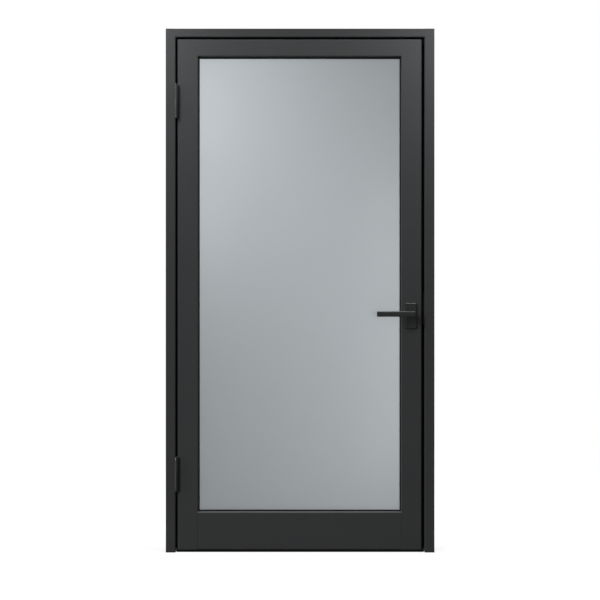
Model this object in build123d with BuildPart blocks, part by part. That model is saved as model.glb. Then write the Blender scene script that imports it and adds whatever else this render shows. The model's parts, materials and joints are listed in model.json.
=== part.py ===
"""Hinged glass door in a three-sided aluminium frame, shut, in millimetres.

X runs across the opening from the hinges to the lock, Y from the front face to the back, Z up.
The origin is on the floor, at the middle of the frame's width and of the leaf's thickness.
"""

import os
from math import cos, radians, sin

from build123d import *

os.makedirs("parts", exist_ok=True)

# Frame profiles
frame_width = 1100
frame_height = 2144
frame_depth = 80
jamb_face = 40
head_face = 34
stop_depth = 20
stop_reach = 22
profile_wall = 2
edge_radius = 1
front_bevel = 2.5

# Gaps round the shut leaf
hinge_gap = 9
lock_gap = 13
head_gap = 10
floor_gap = 13

# Leaf profiles
leaf_thickness = 56
stile_face = 83
top_rail_face = 69
bottom_rail_face = 152
rebate_width = 20
lip_depth = 21
joint_gap = 0.3
rail_end_bevel = 1

# Hardware groove along the edge of the lock stile and under the bottom rail
groove_width = 22.4
groove_depth = 3

# Glazing
glass_thickness = 8
glass_cover = 13
glass_chamfer = 1
gasket_thickness = 3
gasket_nose = 4.3
gasket_cover = 10
gasket_wall = 4
gasket_bevel = 1.8
gasket_root_play = 0.2
gasket_groove_width = 3
gasket_groove_depth = 2.5
gasket_groove_inset = 7.5
bead_wall = 1.5
bead_clearance = 0.3
setting_block_length = 100

# Stop seals
seal_centre = 14
seal_width = 9
seal_height = 3.6
seal_bore = 1.1
seal_groove_width = 4
seal_groove_depth = 3
seal_groove_wall = 5
seal_root_play = 0.2
seal_foot = 2

# Seal under the bottom rail
bottom_seal_width = 46
bottom_seal_height = 5
bottom_seal_end_gap = 3
rib_play = 0.2
blade_thickness = 3
blade_tip = 1.6
blade_floor_gap = 1

# Lift-off hinges
hinge_length = 140
barrel_radius = 7.5
barrel_gap = 0.5
barrel_end_radius = 1.2
washer_thickness = 1
top_hinge_below_leaf_top = 255
bottom_hinge_above_leaf_bottom = 309
wing_thickness = 3
wing_back_edge = 4
wing_corner = 6
wing_end_inset = 1
wing_screw_y = -12
wing_screw_spacing = 24
pin_radius = 4
pin_in_frame_half = 50
pin_in_leaf_half = 45
pin_headroom = 3
pin_chamfer = 1
washer_play = 0.2
press_clearance = 0.02
running_clearance = 0.06
backing_thickness = 5
backing_depth = 28

# Fixings
anchor_radius = 4.25
anchor_y = 12
anchor_heights = (202, 782, 1362, 1942)
screw_radius = 2.5
screw_head_radius = 4.5
screw_length = 14
screw_clearance = 0.1
socket_radius = 1.7
socket_depth = 1.6
socket_sides = 6
sink_angle = 90
corner_screw_length = 68
corner_screw_depths = (14, 46)
port_centre = 6.5
port_outer_radius = 4.6
rail_bolt_y = 19
rail_bolt_radius = 3
rail_bolt_head_radius = 5.5
rail_bolt_length = 93
bottom_bolt_rises = (32, 102)
top_bolt_drops = (35, 15)
cleat_length = 40
cleat_front = -6
cleat_clearance = 0.2
cleat_core_depth = 28
cleat_core_wall = 5
cap_thickness = 2
cap_play = 0.2

# Lever handle and its plates
lever_height = 977
backset = 44
lever_length = 155
lever_bar_height = 22
lever_bar_thickness = 10
lever_standoff = 52
lever_end_overhang = 11.5
lever_corner = 3.5
lever_edge = 3
lever_back_edge = 1.8
neck_radius = 10
journal_radius = 8
neck_gap = 0.5
plate_width = 46
plate_height = 104
plate_drop = 8
plate_depth = 8
plate_wall = 1.5
plate_corner = 3
plate_edge = 2
base_depth = 5
base_clearance = 0.2
bush_radius = 11
neck_hole_radius = 10.5
journal_play = 0.4
post_radius = 4
post_length = 20
post_spacing = 72
post_play = 0.3
plate_bolt_radius = 2
plate_bolt_head_radius = 4
plate_bolt_length = 57
plate_bolt_play = 0.5
spindle_side = 8
spindle_length = 140
spindle_clearance = 0.05
grub_radius = 3
grub_length = 5.5
grub_out = 24

# Mortise latch
case_depth = 56.5
case_thickness = 15
case_wall = 1.5
case_play = 0.5
case_below_lever = 72
case_above_lever = 56
forend_width = 22
forend_length = 180
forend_screw_spacing = 160
latch_rise = 24
latch_travel = 11.5
latch_projection = 11.5
latch_head_length = 25.5
latch_head_width = 11.6
latch_head_height = 24
latch_flat = 2
latch_bevel = 10
latch_nose_radius = 1
latch_clearance = 0.3
latch_rod_radius = 2.5
latch_lug_thickness = 3.5
latch_lug_width = 8
latch_lug_bottom = 15
latch_lug_top = 27
lever_swing = 40
follower_radius = 9
follower_arm_width = 5
follower_tip_radius = 3
follower_thickness = 8
follower_heel_reach = 14
follower_play = 0.4
guide_thickness = 2
guide_height = 10
latch_spring_length = 18
heel_gap = 0.3
heel_spring_gap = 1.5
stop_post_radius = 2
spring_wire_radius = 0.4
spring_wire_sides = 8
spring_end_gap = 0.6
spring_radius = 3.3
latch_spring_turns = 5
follower_spring_turns = 9

# Strike keep on the lock jamb
strike_thickness = 8
strike_width = 24
strike_height = 140
strike_corner = 5
strike_ramp = 3
strike_pocket_width = 14
strike_pocket_height = 27
strike_screw_spacing = 104

# Places worked out from the sizes above
half_frame = frame_width / 2
reveal_left = -half_frame + jamb_face
reveal_right = half_frame - jamb_face
rebate_depth = frame_depth - stop_depth
leaf_left = reveal_left + hinge_gap
leaf_right = reveal_right - lock_gap
leaf_bottom = floor_gap
leaf_top = frame_height - head_face - head_gap
leaf_height = leaf_top - leaf_bottom
leaf_front = -leaf_thickness / 2
leaf_back = leaf_thickness / 2
frame_front = leaf_front
stop_front = frame_front + rebate_depth
daylight_left = leaf_left + stile_face
daylight_right = leaf_right - stile_face
daylight_bottom = leaf_bottom + bottom_rail_face
daylight_top = leaf_top - top_rail_face
daylight_width = daylight_right - daylight_left
daylight_height = daylight_top - daylight_bottom
daylight_x = (daylight_left + daylight_right) / 2
daylight_z = (daylight_bottom + daylight_top) / 2
tube_left = daylight_left - rebate_width
tube_right = daylight_right + rebate_width
tube_bottom = daylight_bottom - rebate_width
tube_top = daylight_top + rebate_width
lip_back = leaf_front + lip_depth
hinge_x = (reveal_left + leaf_left) / 2
hinge_y = leaf_front - barrel_radius - barrel_gap
knuckle_length = (hinge_length - washer_thickness) / 2
hinge_heights = {
    "top_hinge": leaf_top - top_hinge_below_leaf_top,
    "bottom_hinge": leaf_bottom + bottom_hinge_above_leaf_bottom,
}
lever_x = leaf_right - backset
plate_z = lever_height - plate_drop
latch_z = lever_height + latch_rise
forend_back = leaf_right - groove_depth
case_left = forend_back - case_depth
case_bottom = lever_height - case_below_lever
case_top = lever_height + case_above_lever
case_half = case_thickness / 2
forend_z = (case_bottom + case_top) / 2
latch_tip = leaf_right + latch_projection
latch_head_back = latch_tip - latch_head_length
follower_rest = lever_swing / 2
follower_reach = latch_travel / 2 / sin(radians(follower_rest))
guide_right = latch_head_back - latch_spring_length

C = Align.CENTER
LOW = Align.MIN
HIGH = Align.MAX


def keep(piece, name):
    """Name a finished piece and write it."""
    piece.part.label = name
    export_step(piece.part, f"parts/{name}.step")


def facing_x(x, y, z, side):
    """A plane at a point whose normal points along +X or -X."""
    return Plane((x, y, z), x_dir=(0, 1, 0), z_dir=(side, 0, 0))


def outward(side, x, z, distance):
    """A plane in front of (-1) or behind (1) the leaf, facing away from it."""
    return Plane((x, side * (leaf_thickness / 2 + distance), z), x_dir=(1, 0, 0), z_dir=(0, side, 0))


def frontal(y, x=0, z=0):
    """A plane parallel to the glass, seen from the front."""
    return Plane((x, y, z), x_dir=(1, 0, 0), z_dir=(0, -1, 0))


def countersunk(planes, radius, head_radius, length, socket=True):
    """Countersunk screws with their heads flush in the planes, the shanks behind them."""
    head_height = head_radius - radius
    with BuildPart() as screws:
        with Locations(*planes):
            Cone(radius, head_radius, head_height, align=(C, C, HIGH))
            Cylinder(radius, length, align=(C, C, HIGH))
        if socket:
            with BuildSketch(*planes) as sockets:
                RegularPolygon(socket_radius, socket_sides)
            extrude(sockets.sketch, amount=-socket_depth, mode=Mode.SUBTRACT)
    return screws


# Frame: two jambs and the head between them


def frame_section(plane, face):
    """Hollow jamb or head: its face along the plane's x, its depth along y, the door stop at the back."""
    inner = face + stop_reach
    chamber_step = rebate_depth + seal_groove_wall
    far = frame_depth - profile_wall
    with BuildSketch(plane) as section:
        with BuildLine():
            Polyline(
                (0, 0),
                (face - front_bevel, 0),
                (face, front_bevel),
                (face, rebate_depth),
                (inner, rebate_depth),
                (inner, frame_depth),
                (0, frame_depth),
                close=True,
            )
        make_face()
        corners = section.vertices().filter_by(lambda v: v.X < edge_radius or v.X > face + edge_radius)
        fillet(corners, edge_radius)
        with BuildLine():
            Polyline(
                (profile_wall, profile_wall),
                (face - profile_wall, profile_wall),
                (face - profile_wall, chamber_step),
                (inner - profile_wall, chamber_step),
                (inner - profile_wall, far),
                (profile_wall, far),
                close=True,
            )
        make_face(mode=Mode.SUBTRACT)
        with Locations((face + seal_centre, rebate_depth)):
            Rectangle(seal_groove_width, seal_groove_depth, align=(C, LOW), mode=Mode.SUBTRACT)
    return section.sketch


hinge_jamb_plane = Plane((-half_frame, frame_front, 0), x_dir=(1, 0, 0), z_dir=(0, 0, 1))
lock_jamb_plane = Plane((half_frame, frame_front, frame_height), x_dir=(-1, 0, 0), z_dir=(0, 0, -1))
head_plane = Plane((reveal_left, frame_front, frame_height), x_dir=(0, 0, -1), z_dir=(1, 0, 0))
port_z = frame_height - port_centre


def anchor_planes(side):
    """Fixing holes through a jamb, seen from the wall."""
    return [facing_x(side * half_frame, anchor_y, z, side) for z in anchor_heights]


def corner_planes(side):
    """Screws through a jamb into the end of the head."""
    return [facing_x(side * half_frame, frame_front + depth, port_z, side) for depth in corner_screw_depths]


def wing_screw_planes(x, side, upper):
    """Screw places of the hinge wings on one side of the gap."""
    half = (knuckle_length + washer_thickness) / 2
    middles = [z + half if upper else z - half for z in hinge_heights.values()]
    steps = (-wing_screw_spacing, 0, wing_screw_spacing)
    return [facing_x(x, wing_screw_y, z + step, side) for z in middles for step in steps]


def strike_planes(x):
    """Screw places of the strike keep."""
    ends = (-strike_screw_spacing / 2, strike_screw_spacing / 2)
    return [facing_x(x, 0, latch_z + end, -1) for end in ends]


screw_hole = screw_radius + screw_clearance
screw_sink = screw_head_radius + screw_clearance
frame_wing_face = reveal_left + wing_thickness
leaf_wing_face = leaf_left - wing_thickness

with BuildPart() as frame_hinge_jamb:
    extrude(frame_section(hinge_jamb_plane, jamb_face), amount=frame_height)
    with Locations(*anchor_planes(-1)):
        Hole(anchor_radius, jamb_face)
    with Locations(*corner_planes(-1)):
        CounterSinkHole(screw_hole, screw_sink, jamb_face, sink_angle)
    with Locations(*wing_screw_planes(reveal_left, 1, False)):
        Hole(screw_hole, 2 * profile_wall)
keep(frame_hinge_jamb, "frame_hinge_jamb")

with BuildPart() as frame_lock_jamb:
    extrude(frame_section(lock_jamb_plane, jamb_face), amount=frame_height)
    with Locations(*anchor_planes(1)):
        Hole(anchor_radius, jamb_face)
    with Locations(*corner_planes(1)):
        CounterSinkHole(screw_hole, screw_sink, jamb_face, sink_angle)
    with Locations(*strike_planes(reveal_right)):
        Hole(screw_hole, 2 * profile_wall)
keep(frame_lock_jamb, "frame_lock_jamb")

head_length = reveal_right - reveal_left
head_start = head_plane.offset(-front_bevel)
head_stock = head_length + 2 * front_bevel
port_points = [(port_centre, depth) for depth in corner_screw_depths]

with BuildPart() as frame_head:
    extrude(frame_section(head_start, head_face), amount=head_stock)
    # Round screw ports hang from the top wall
    with BuildSketch(head_start):
        with Locations(*port_points):
            Circle(port_outer_radius)
    extrude(amount=head_stock)
    with BuildSketch(head_start):
        with Locations(*port_points):
            Circle(screw_radius + press_clearance)
    extrude(amount=head_stock, mode=Mode.SUBTRACT)
    # The ends are coped round the bevels and the stops of the jambs
    for reveal, outwards, inwards in ((reveal_left, -1, LOW), (reveal_right, 1, HIGH)):
        stock_end = reveal + outwards * front_bevel
        with BuildSketch(Plane.XY.offset(frame_height)):
            with BuildLine():
                Polyline(
                    (stock_end, frame_front),
                    (reveal, frame_front + front_bevel),
                    (reveal, frame_front + frame_depth),
                    (stock_end, frame_front + frame_depth),
                    close=True,
                )
            make_face()
        extrude(amount=-head_face - stop_reach, mode=Mode.SUBTRACT)
        with Locations((reveal, stop_front, frame_height)):
            Box(
                stop_reach,
                stop_depth,
                head_face + stop_reach,
                align=(inwards, LOW, HIGH),
                mode=Mode.SUBTRACT,
            )
keep(frame_head, "frame_head")

frame_corner_screws = countersunk(
    corner_planes(-1) + corner_planes(1), screw_radius, screw_head_radius, corner_screw_length, False
)
keep(frame_corner_screws, "frame_corner_screws")


# Bulb seals in the groove of the stop


def seal_bulb(plane, face):
    """Hollow D-shaped bulb that the back of the leaf shuts against."""
    middle = face + seal_centre
    half = seal_width / 2
    with BuildSketch(plane) as section:
        with BuildLine():
            Line((middle - half, rebate_depth), (middle + half, rebate_depth))
            ThreePointArc(
                (middle + half, rebate_depth),
                (middle, rebate_depth - seal_height),
                (middle - half, rebate_depth),
            )
        make_face()
        with Locations((middle, rebate_depth - seal_height / 2)):
            Circle(seal_bore, mode=Mode.SUBTRACT)
    return section.sketch


def seal_root(plane, face):
    """Root of the seal that is pressed into the groove."""
    with BuildSketch(plane) as section:
        with Locations((face + seal_centre, rebate_depth)):
            Rectangle(
                seal_groove_width - 2 * seal_root_play,
                seal_groove_depth - seal_root_play,
                align=(C, LOW),
            )
    return section.sketch


seal_top = frame_height - head_face - seal_centre + seal_width / 2
side_seal_length = seal_top - seal_foot
side_seal_planes = {
    "stop_seal_hinge_side": hinge_jamb_plane.offset(seal_foot),
    "stop_seal_lock_side": lock_jamb_plane.offset(frame_height - seal_top),
}
for seal_name, seal_plane in side_seal_planes.items():
    with BuildPart() as side_seal:
        extrude(seal_bulb(seal_plane, jamb_face), amount=side_seal_length)
        extrude(seal_root(seal_plane, jamb_face), amount=side_seal_length)
    keep(side_seal, seal_name)

head_bulb_inset = seal_centre + seal_width / 2
with BuildPart() as stop_seal_head:
    extrude(
        seal_bulb(head_plane.offset(head_bulb_inset), head_face),
        amount=head_length - 2 * head_bulb_inset,
    )
    extrude(
        seal_root(head_plane.offset(stop_reach), head_face),
        amount=head_length - 2 * stop_reach,
    )
keep(stop_seal_head, "stop_seal_head")


# Strike keep on the reveal of the lock jamb

strike_face = reveal_right - strike_thickness
with BuildPart() as strike_keep:
    with BuildSketch(facing_x(reveal_right, 0, latch_z, -1)):
        RectangleRounded(strike_width, strike_height, strike_corner)
        Rectangle(strike_pocket_width, strike_pocket_height, mode=Mode.SUBTRACT)
    extrude(amount=strike_thickness)
    ramp = strike_keep.edges().filter_by(Axis.Z).group_by(Axis.X)[0].sort_by(Axis.Y)[0]
    chamfer(ramp, strike_ramp)
    with Locations(*strike_planes(strike_face)):
        CounterSinkHole(screw_hole, screw_sink, strike_thickness, sink_angle)
keep(strike_keep, "strike_keep")

strike_screws = countersunk(
    strike_planes(strike_face), screw_radius, screw_head_radius, strike_thickness + 2 * profile_wall
)
keep(strike_screws, "strike_screws")


# Lift-off hinges: lower half and pin on the jamb, upper half on the leaf

wing_width = wing_back_edge - hinge_y
wing_middle = (wing_back_edge + hinge_y) / 2
wing_height = knuckle_length - 2 * wing_end_inset
half_gap = washer_thickness / 2

for hinge_name, hinge_z in hinge_heights.items():
    frame_half_z = hinge_z - half_gap - knuckle_length / 2
    leaf_half_z = hinge_z + half_gap + knuckle_length / 2

    with BuildPart() as frame_half:
        with Locations((hinge_x, hinge_y, frame_half_z)):
            Cylinder(barrel_radius, knuckle_length)
        fillet(frame_half.edges().group_by(Axis.Z)[0], barrel_end_radius)
        with BuildSketch(facing_x(reveal_left, wing_middle, frame_half_z, 1)) as wing:
            Rectangle(wing_width, wing_height)
            fillet(wing.vertices().group_by(Axis.X)[-1], wing_corner)
        extrude(amount=wing_thickness)
        with Locations((hinge_x, hinge_y, hinge_z - half_gap)):
            Hole(pin_radius + press_clearance, pin_in_frame_half)
        with Locations(*wing_screw_planes(frame_wing_face, 1, False)):
            CounterSinkHole(screw_hole, screw_sink, wing_thickness, sink_angle)
    keep(frame_half, f"{hinge_name}_frame_half")

    with BuildPart() as leaf_half:
        with Locations((hinge_x, hinge_y, leaf_half_z)):
            Cylinder(barrel_radius, knuckle_length)
        fillet(leaf_half.edges().group_by(Axis.Z)[-1], barrel_end_radius)
        with BuildSketch(facing_x(leaf_left, wing_middle, leaf_half_z, -1)) as wing:
            Rectangle(wing_width, wing_height)
            fillet(wing.vertices().group_by(Axis.X)[-1], wing_corner)
        extrude(amount=wing_thickness)
        with Locations(Plane((hinge_x, hinge_y, hinge_z + half_gap), z_dir=(0, 0, -1))):
            Hole(pin_radius + running_clearance, pin_in_leaf_half + pin_headroom)
        with Locations(*wing_screw_planes(leaf_wing_face, -1, True)):
            CounterSinkHole(screw_hole, screw_sink, wing_thickness, sink_angle)
    keep(leaf_half, f"{hinge_name}_leaf_half")

    with BuildPart() as pin:
        with Locations((hinge_x, hinge_y, hinge_z - half_gap - pin_in_frame_half)):
            Cylinder(pin_radius, pin_in_frame_half + washer_thickness + pin_in_leaf_half, align=(C, C, LOW))
        chamfer(pin.edges().group_by(Axis.Z)[-1], pin_chamfer)
    keep(pin, f"{hinge_name}_pin")

with BuildPart() as hinge_washers:
    with Locations(*[(hinge_x, hinge_y, z) for z in hinge_heights.values()]):
        Cylinder(barrel_radius, washer_thickness)
        Cylinder(pin_radius + washer_play, washer_thickness, mode=Mode.SUBTRACT)
keep(hinge_washers, "hinge_washers")

hinge_frame_screws = countersunk(
    wing_screw_planes(frame_wing_face, 1, False), screw_radius, screw_head_radius, screw_length
)
keep(hinge_frame_screws, "hinge_frame_screws")

hinge_leaf_screws = countersunk(
    wing_screw_planes(leaf_wing_face, -1, True), screw_radius, screw_head_radius, screw_length
)
keep(hinge_leaf_screws, "hinge_leaf_screws")


def backing_plates(wall_face, side, upper):
    """Steel plates behind the thin wall, which take the hinge screws."""
    planes = wing_screw_planes(wall_face, side, upper)
    middles = planes[1::3]
    with BuildPart() as plates:
        with BuildSketch(*middles) as outlines:
            RectangleRounded(backing_depth, wing_height, wing_corner / 2)
        extrude(outlines.sketch, amount=-backing_thickness)
        with Locations(*planes):
            Hole(screw_radius + press_clearance, backing_thickness)
    return plates


jamb_backing_plates = backing_plates(reveal_left - profile_wall, 1, False)
keep(jamb_backing_plates, "jamb_backing_plates")

stile_backing_plates = backing_plates(leaf_left + profile_wall, -1, True)
keep(stile_backing_plates, "stile_backing_plates")


# Leaf: stiles at full height, rails butted between them


def leaf_section(plane, face, hardware_groove):
    """Hollow stile or rail: its face along the plane's x, its thickness along y, the glazing lip in front."""
    tube = face - rebate_width
    with BuildSketch(plane) as section:
        with BuildLine():
            Polyline(
                (0, front_bevel),
                (front_bevel, 0),
                (face - front_bevel, 0),
                (face, front_bevel),
                (face, lip_depth),
                (tube, lip_depth),
                (tube, leaf_thickness),
                (0, leaf_thickness),
                close=True,
            )
        make_face()
        behind = section.vertices().filter_by(lambda v: v.Y > front_bevel + edge_radius)
        corners = behind.filter_by(lambda v: abs(v.X - tube) + abs(v.Y - lip_depth) > edge_radius)
        fillet(corners, edge_radius)
        with Locations((profile_wall, profile_wall)):
            Rectangle(
                tube - 2 * profile_wall,
                leaf_thickness - 2 * profile_wall,
                align=(LOW, LOW),
                mode=Mode.SUBTRACT,
            )
        with Locations((tube, profile_wall)):
            Rectangle(
                rebate_width - profile_wall,
                lip_depth - profile_wall - gasket_wall,
                align=(LOW, LOW),
                mode=Mode.SUBTRACT,
            )
        with Locations((face - gasket_groove_inset, lip_depth)):
            Rectangle(gasket_groove_width, gasket_groove_depth, align=(C, HIGH), mode=Mode.SUBTRACT)
        if hardware_groove:
            with Locations((0, leaf_thickness / 2)):
                Rectangle(groove_depth + profile_wall, groove_width + 2 * profile_wall, align=(LOW, C))
                Rectangle(groove_depth, groove_width, align=(LOW, C), mode=Mode.SUBTRACT)
    return section.sketch


hinge_stile_plane = Plane((leaf_left, leaf_front, leaf_bottom), x_dir=(1, 0, 0), z_dir=(0, 0, 1))
lock_stile_plane = Plane((leaf_right, leaf_front, leaf_top), x_dir=(-1, 0, 0), z_dir=(0, 0, -1))
top_rail_plane = Plane((tube_left, leaf_front, leaf_top), x_dir=(0, 0, -1), z_dir=(1, 0, 0))
bottom_rail_plane = Plane((tube_right, leaf_front, leaf_bottom), x_dir=(0, 0, 1), z_dir=(-1, 0, 0))
rail_length = tube_right - tube_left
bottom_bolt_heights = [leaf_bottom + rise for rise in bottom_bolt_rises]
top_bolt_heights = [leaf_top - drop for drop in top_bolt_drops]
rail_bolt_hole = rail_bolt_radius + screw_clearance
rail_bolt_sink = rail_bolt_head_radius + screw_clearance


def rail_bolt_planes(x, side):
    """Bolts through a stile into the cleats of the rails."""
    return [facing_x(x, rail_bolt_y, z, side) for z in bottom_bolt_heights + top_bolt_heights]


with BuildPart() as hinge_stile:
    extrude(leaf_section(hinge_stile_plane, stile_face, False), amount=leaf_height)
    with Locations(*wing_screw_planes(leaf_left, -1, True)):
        Hole(screw_hole, 2 * profile_wall)
    with Locations(*rail_bolt_planes(leaf_left, -1)):
        CounterSinkHole(rail_bolt_hole, rail_bolt_sink, stile_face - rebate_width, sink_angle)
keep(hinge_stile, "hinge_stile")

post_heights = (lever_height - post_spacing / 2, lever_height + post_spacing / 2)
forend_screw_heights = (forend_z - forend_screw_spacing / 2, forend_z + forend_screw_spacing / 2)
forend_screw_planes = [facing_x(leaf_right, 0, z, 1) for z in forend_screw_heights]

with BuildPart() as lock_stile:
    extrude(leaf_section(lock_stile_plane, stile_face, True), amount=leaf_height)
    with Locations(*rail_bolt_planes(leaf_right, 1)):
        CounterSinkHole(rail_bolt_hole, rail_bolt_sink, stile_face - rebate_width, sink_angle)
    # Slot for the lock case and the holes of its front plate
    with Locations((leaf_right, 0, forend_z)):
        Box(
            2 * (groove_depth + profile_wall),
            case_thickness + 2 * case_play,
            case_top - case_bottom + 2 * case_play,
            mode=Mode.SUBTRACT,
        )
    with Locations(*forend_screw_planes):
        Hole(screw_hole, 2 * groove_depth)
    # Holes for the lever necks and for the posts of the handle plates
    with Locations(outward(-1, lever_x, lever_height, 0)):
        Hole(neck_hole_radius, leaf_thickness)
    with Locations(*[outward(-1, lever_x, z, 0) for z in post_heights]):
        Hole(post_radius + post_play, leaf_thickness)
keep(lock_stile, "lock_stile")


def notch_rail_ends(bottom, top):
    """Cope the front of a rail round the bevelled glazing lips of the stiles."""
    for end, lip_edge, inwards in ((tube_left, daylight_left, 1), (tube_right, daylight_right, -1)):
        edge = lip_edge + inwards * joint_gap / 2
        with BuildSketch(Plane.XY.offset(bottom)) as notch:
            with BuildLine():
                Polyline(
                    (end, leaf_front),
                    (edge - inwards * front_bevel, leaf_front),
                    (edge, leaf_front + front_bevel),
                    (edge, lip_back + joint_gap / 2),
                    (end, lip_back + joint_gap / 2),
                    close=True,
                )
            make_face()
        extrude(notch.sketch, amount=top - bottom, mode=Mode.SUBTRACT)


with BuildPart() as top_rail:
    extrude(leaf_section(top_rail_plane, top_rail_face, False), amount=rail_length)
    notch_rail_ends(daylight_top, leaf_top)
keep(top_rail, "top_rail")

with BuildPart() as bottom_rail:
    extrude(leaf_section(bottom_rail_plane, bottom_rail_face, True), amount=rail_length)
    notch_rail_ends(leaf_bottom, daylight_bottom)
    # Eased front edges at the joints with the stiles
    for lip_edge, inwards in ((daylight_left, 1), (daylight_right, -1)):
        tip = lip_edge + inwards * (joint_gap / 2 - front_bevel)
        with BuildSketch(Plane.XY.offset(leaf_bottom)):
            with BuildLine():
                Polyline(
                    (tip, leaf_front),
                    (tip + inwards * 2 * rail_end_bevel, leaf_front),
                    (tip + inwards * rail_end_bevel, leaf_front + rail_end_bevel),
                    close=True,
                )
            make_face()
        extrude(amount=bottom_rail_face, mode=Mode.SUBTRACT)
keep(bottom_rail, "bottom_rail")


# Corner joints inside the rails


def rail_cleats(bottom, top, bolt_heights):
    """One block in each end of a rail, cored from its inner end and drilled for the bolts."""
    depth = leaf_back - profile_wall - cleat_clearance - cleat_front
    height = top - bottom
    core_depth = depth - 2 * cleat_core_wall
    core_height = height - 2 * cleat_core_wall
    with BuildPart() as cleats:
        for end, inwards, side in ((tube_left, LOW, 1), (tube_right, HIGH, -1)):
            with Locations((end, cleat_front, bottom)):
                Box(cleat_length, depth, height, align=(inwards, LOW, LOW))
            core_x = end + side * cleat_length
            outwards = HIGH if inwards == LOW else LOW
            with Locations((core_x, cleat_front + cleat_core_wall, bottom + cleat_core_wall)):
                Box(
                    cleat_core_depth,
                    core_depth,
                    core_height,
                    align=(outwards, LOW, LOW),
                    mode=Mode.SUBTRACT,
                )
            with Locations(*[facing_x(end, rail_bolt_y, z, -side) for z in bolt_heights]):
                Hole(rail_bolt_radius + press_clearance, cleat_length)
    return cleats


top_rail_cleats = rail_cleats(
    tube_top + profile_wall + cleat_clearance,
    leaf_top - profile_wall - cleat_clearance,
    top_bolt_heights,
)
keep(top_rail_cleats, "top_rail_cleats")

bottom_rail_cleats = rail_cleats(
    leaf_bottom + groove_depth + profile_wall + cleat_clearance,
    tube_bottom - profile_wall - cleat_clearance,
    bottom_bolt_heights,
)
keep(bottom_rail_cleats, "bottom_rail_cleats")

rail_bolts = countersunk(
    rail_bolt_planes(leaf_left, -1) + rail_bolt_planes(leaf_right, 1),
    rail_bolt_radius,
    rail_bolt_head_radius,
    rail_bolt_length,
)
keep(rail_bolts, "rail_bolts")

cap_depth = leaf_thickness - 2 * profile_wall - 2 * cap_play
stile_tube = stile_face - rebate_width
with BuildPart() as stile_end_caps:
    for cap_z, upward in ((leaf_bottom, LOW), (leaf_top, HIGH)):
        with Locations((leaf_left + profile_wall + cap_play, 0, cap_z)):
            Box(
                stile_tube - 2 * profile_wall - 2 * cap_play,
                cap_depth,
                cap_thickness,
                align=(LOW, C, upward),
            )
        with Locations((tube_right + profile_wall + cap_play, 0, cap_z)):
            Box(
                stile_tube - 2 * profile_wall - groove_depth - 2 * cap_play,
                cap_depth,
                cap_thickness,
                align=(LOW, C, upward),
            )
keep(stile_end_caps, "stile_end_caps")


# Glass, gaskets, beads and packers

glass_width = daylight_width + 2 * glass_cover
glass_height = daylight_height + 2 * glass_cover
with BuildPart() as glass_pane:
    with Locations((daylight_x, 0, daylight_z)):
        Box(glass_width, glass_thickness, glass_height)
    chamfer(glass_pane.edges().filter_by(Axis.Y, reverse=True), glass_chamfer)
keep(glass_pane, "glass_pane")

gasket_back = -glass_thickness / 2
root_width = gasket_groove_width - 2 * gasket_root_play
root_depth = gasket_groove_depth - gasket_root_play

with BuildPart() as front_glazing_gasket:
    with BuildSketch(frontal(gasket_back, daylight_x, daylight_z)):
        Rectangle(daylight_width + 2 * gasket_cover, daylight_height + 2 * gasket_cover)
        Rectangle(daylight_width - 2 * gasket_nose, daylight_height - 2 * gasket_nose, mode=Mode.SUBTRACT)
    extrude(amount=gasket_thickness)
    nose = front_glazing_gasket.faces().sort_by(Axis.Y)[0].inner_wires().edges()
    chamfer(nose, gasket_bevel)
    # Roots in the grooves of the stiles and rails
    with BuildSketch(frontal(lip_back, daylight_x, daylight_z)):
        with GridLocations(daylight_width + 2 * gasket_groove_inset, 0, 2, 1):
            Rectangle(root_width, daylight_height)
        with GridLocations(0, daylight_height + 2 * gasket_groove_inset, 1, 2):
            Rectangle(daylight_width - 2 * joint_gap, root_width)
    extrude(amount=root_depth)
keep(front_glazing_gasket, "front_glazing_gasket")

with BuildPart() as back_glazing_gasket:
    with BuildSketch(outward(1, daylight_x, daylight_z, -leaf_back + glass_thickness / 2)):
        Rectangle(daylight_width + 2 * gasket_cover, daylight_height + 2 * gasket_cover)
        Rectangle(daylight_width - 2 * gasket_nose, daylight_height - 2 * gasket_nose, mode=Mode.SUBTRACT)
    extrude(amount=gasket_thickness)
    nose = back_glazing_gasket.faces().sort_by(Axis.Y)[-1].inner_wires().edges()
    chamfer(nose, gasket_bevel)
keep(back_glazing_gasket, "back_glazing_gasket")

bead_front = glass_thickness / 2 + gasket_thickness
bead_depth = leaf_back - bead_front
bead_width = rebate_width - bead_clearance
bead_left = tube_left + bead_clearance
bead_right = tube_right - bead_clearance
side_bead_length = daylight_height - 2 * bead_clearance
bead_runs = {
    "glazing_bead_top": (
        Plane((bead_left, bead_front, tube_top - bead_clearance), x_dir=(0, 0, -1), z_dir=(1, 0, 0)),
        bead_right - bead_left,
    ),
    "glazing_bead_bottom": (
        Plane((bead_right, bead_front, tube_bottom + bead_clearance), x_dir=(0, 0, 1), z_dir=(-1, 0, 0)),
        bead_right - bead_left,
    ),
    "glazing_bead_hinge_side": (
        Plane((bead_left, bead_front, daylight_bottom + bead_clearance), x_dir=(1, 0, 0), z_dir=(0, 0, 1)),
        side_bead_length,
    ),
    "glazing_bead_lock_side": (
        Plane((bead_right, bead_front, daylight_top - bead_clearance), x_dir=(-1, 0, 0), z_dir=(0, 0, -1)),
        side_bead_length,
    ),
}
for bead_name, (bead_plane, bead_length) in bead_runs.items():
    with BuildPart() as bead:
        with BuildSketch(bead_plane) as bead_section:
            Rectangle(bead_width, bead_depth, align=(LOW, LOW))
            fillet(bead_section.vertices().group_by(Axis.Y)[-1], edge_radius)
            with Locations((bead_width / 2, bead_depth / 2)):
                Rectangle(bead_width - 2 * bead_wall, bead_depth - 2 * bead_wall, mode=Mode.SUBTRACT)
        extrude(amount=bead_length)
    keep(bead, bead_name)

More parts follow.
